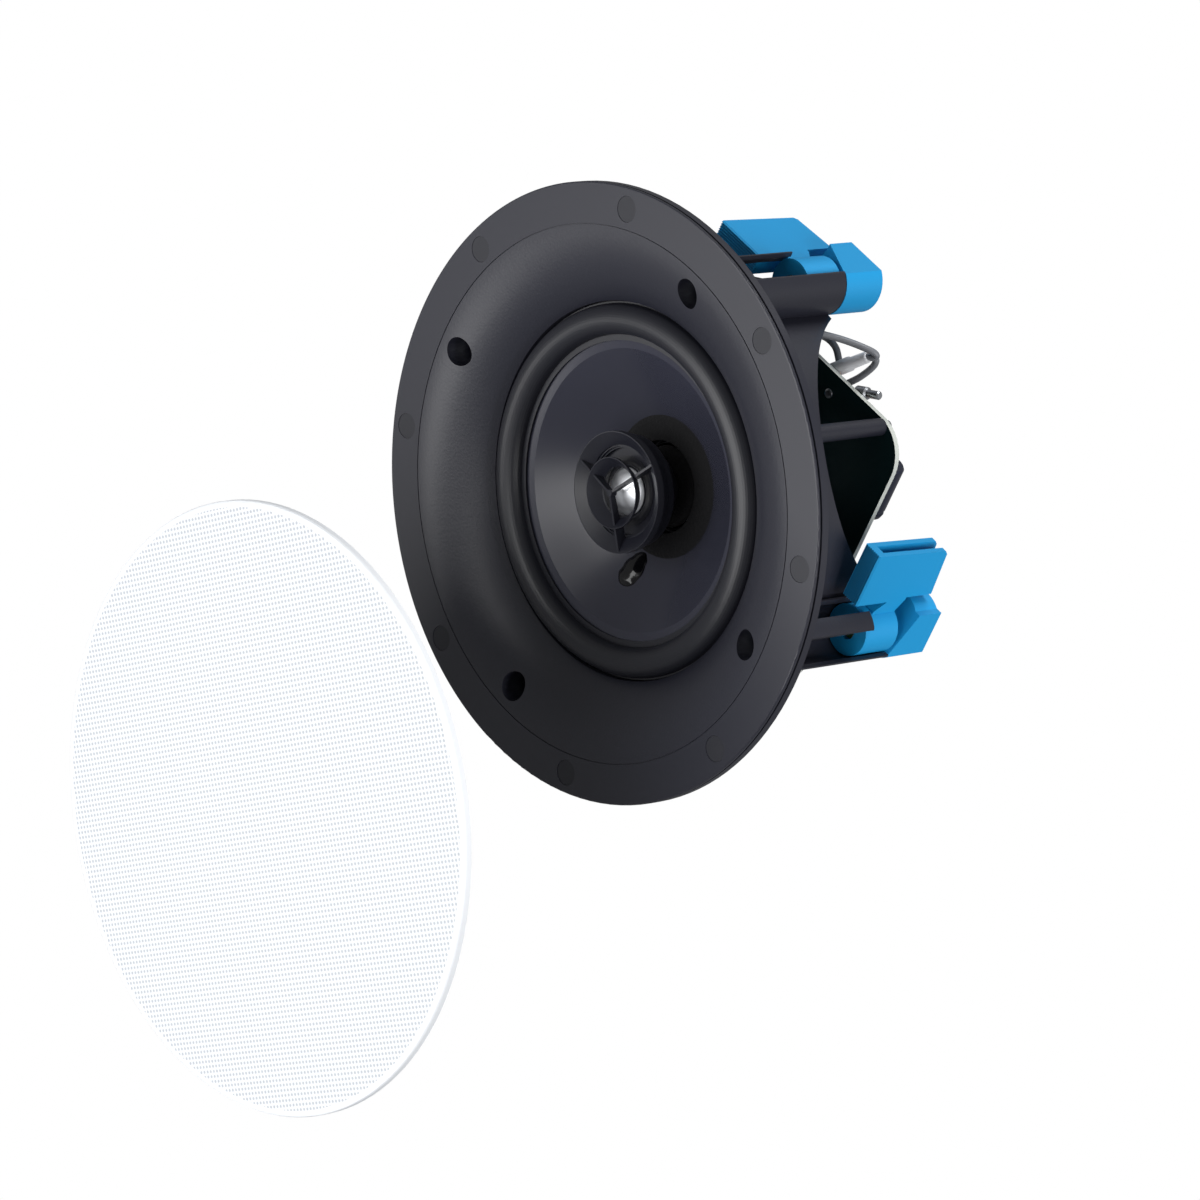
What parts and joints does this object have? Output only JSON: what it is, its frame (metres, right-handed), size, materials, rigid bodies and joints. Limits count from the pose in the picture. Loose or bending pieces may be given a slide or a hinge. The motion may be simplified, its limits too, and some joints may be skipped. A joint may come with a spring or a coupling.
{
  "type": "ceiling speaker",
  "caption": "Round in-ceiling loudspeaker with a moulded frame, dog-leg clamps, cone driver, dome driver on a stem, crossover board and a removable grille.",
  "frame": {"origin": "centre of the flange's back face, on the speaker's axis", "axes": "+Z along the speaker's axis away from the room, up into the ceiling as installed; the clamp screws stand on the X and Y axes"},
  "size_m": [0.228, 0.359, 0.1987],
  "materials": {
    "moulded_body": "fine pebble grain on the dish, smooth elsewhere",
    "grille_magnets": "dull plated",
    "foam": "closed-cell foam",
    "basket": "satin black",
    "screws": "bright zinc",
    "surround_rubber": "satin",
    "cone": "satin dark grey",
    "glue": "glossy set glue",
    "former": "plain foil",
    "copper": "enamelled winding",
    "spider_cloth": "impregnated cloth",
    "motor_steel": "zinc plated",
    "ferrite": "ground ferrite",
    "strip_board": "phenolic board with tags",
    "tinsel": "braided lead",
    "tweeter_plastic": "satin",
    "dome_metal": "satin silver",
    "circuit_board": "solder mask",
    "capacitor_sleeve": "shrink sleeve",
    "bobbin": "natural nylon",
    "ceramic": "cement resistor body",
    "terminal_plastic": "satin",
    "lever_red": "satin",
    "lever_black": "satin",
    "sleeve": "soft vinyl",
    "wire": "insulated wire",
    "brass": "turned",
    "clamp_blue": "moulded, semi-gloss",
    "grille_paint": "powder coated white",
    "grille_fabric": "open weave"
  },
  "bodies": {
    "frame": {"mounting_frame": "moulded_body", "flange_magnets": "grille_magnets", "woofer_gasket": "foam", "woofer_basket": "basket", "woofer_screws": "screws", "woofer_surround": "surround_rubber", "spider": "spider_cloth", "top_plate": "motor_steel", "ferrite_ring": "ferrite", "back_plate": "motor_steel", "lead_strip": "strip_board", "tinsel_leads": "tinsel", "tweeter_stem": "basket", "tweeter_cup": "tweeter_plastic", "tweeter_shield": "tweeter_plastic", "tweeter_faceplate": "tweeter_plastic", "tweeter_surround": "surround_rubber", "tweeter_motor": "motor_steel", "crossover_board": "circuit_board", "board_screws": "screws", "capacitors": "capacitor_sleeve", "inductor_bobbins": "bobbin", "inductor_coils": "copper", "resistor": "ceramic", "terminal_block": "terminal_plastic", "push_on_connectors": "sleeve", "woofer_wires": "wire", "tweeter_wires": "wire", "tower_caps": "clamp_blue"},
    "cone": {"woofer_cone": "cone", "cone_collar": "foam", "lead_glue": "glue", "voice_coil_former": "former", "voice_coil": "copper"},
    "dome": {"tweeter_dome": "dome_metal"},
    "grille": {"grille_sheet": "grille_paint", "grille_cloth": "grille_fabric"},
    "lever_1": {"terminal_lever_1": "lever_red"},
    "lever_2": {"terminal_lever_2": "lever_black"},
    "screw_1": {"clamp_screw_1": "screws"},
    "bush_1": {"clamp_bush_1": "brass"},
    "clamp_1": {"clamp_1": "clamp_blue"},
    "screw_2": {"clamp_screw_2": "screws"},
    "bush_2": {"clamp_bush_2": "brass"},
    "clamp_2": {"clamp_2": "clamp_blue"},
    "screw_3": {"clamp_screw_3": "screws"},
    "bush_3": {"clamp_bush_3": "brass"},
    "clamp_3": {"clamp_3": "clamp_blue"},
    "screw_4": {"clamp_screw_4": "screws"},
    "bush_4": {"clamp_bush_4": "brass"},
    "clamp_4": {"clamp_4": "clamp_blue"}
  },
  "joints": [
    {"name": "cone_stroke", "type": "slide", "parent": "frame", "child": "cone", "axis": [0, 0, -1], "range_m": [-0.003, 0.003], "stiffness_N_per_m": 1500, "deforming": ["woofer_surround", "spider", "tinsel_leads"]},
    {"name": "dome_stroke", "type": "slide", "parent": "frame", "child": "dome", "axis": [0, 0, -1], "range_m": [-0.0002, 0.0002], "stiffness_N_per_m": 300, "deforming": ["tweeter_surround"]},
    {"name": "screw_1_turn", "type": "hinge", "parent": "frame", "child": "screw_1", "pos_m": [0.0895, 0, 0.04], "axis": [0, 0, 1], "continuous": true},
    {"name": "clamp_1_travel", "type": "slide", "parent": "frame", "child": "bush_1", "axis": [0, 0, -1], "range_m": [0, 0.0325]},
    {"name": "clamp_1_swing", "type": "hinge", "parent": "bush_1", "child": "clamp_1", "pos_m": [0.0895, 0, 0.08], "axis": [0, 0, 1], "range_deg": [0, 90]},
    {"name": "screw_2_turn", "type": "hinge", "parent": "frame", "child": "screw_2", "pos_m": [0, 0.0895, 0.04], "axis": [0, 0, 1], "continuous": true},
    {"name": "clamp_2_travel", "type": "slide", "parent": "frame", "child": "bush_2", "axis": [0, 0, -1], "range_m": [0, 0.0325]},
    {"name": "clamp_2_swing", "type": "hinge", "parent": "bush_2", "child": "clamp_2", "pos_m": [0, 0.0895, 0.08], "axis": [0, 0, 1], "range_deg": [0, 90]},
    {"name": "screw_3_turn", "type": "hinge", "parent": "frame", "child": "screw_3", "pos_m": [-0.0895, 0, 0.04], "axis": [0, 0, 1], "continuous": true},
    {"name": "clamp_3_travel", "type": "slide", "parent": "frame", "child": "bush_3", "axis": [0, 0, -1], "range_m": [0, 0.0325]},
    {"name": "clamp_3_swing", "type": "hinge", "parent": "bush_3", "child": "clamp_3", "pos_m": [-0.0895, 0, 0.08], "axis": [0, 0, 1], "range_deg": [0, 90]},
    {"name": "screw_4_turn", "type": "hinge", "parent": "frame", "child": "screw_4", "pos_m": [0, -0.0895, 0.04], "axis": [0, 0, 1], "continuous": true},
    {"name": "clamp_4_travel", "type": "slide", "parent": "frame", "child": "bush_4", "axis": [0, 0, -1], "range_m": [0, 0.0325]},
    {"name": "clamp_4_swing", "type": "hinge", "parent": "bush_4", "child": "clamp_4", "pos_m": [0, -0.0895, 0.08], "axis": [0, 0, 1], "range_deg": [0, 90]},
    {"name": "terminal_1_push", "type": "slide", "parent": "frame", "child": "lever_1", "axis": [-1, 0, 0], "range_m": [0, 0.003], "stiffness_N_per_m": 250},
    {"name": "terminal_2_push", "type": "slide", "parent": "frame", "child": "lever_2", "axis": [-1, 0, 0], "range_m": [0, 0.003], "stiffness_N_per_m": 250},
    {"name": "grille_fit", "type": "slide", "parent": "frame", "child": "grille", "axis": [0, -0.7971, 0.6039], "range_m": [0, 0.1656]}
  ]
}
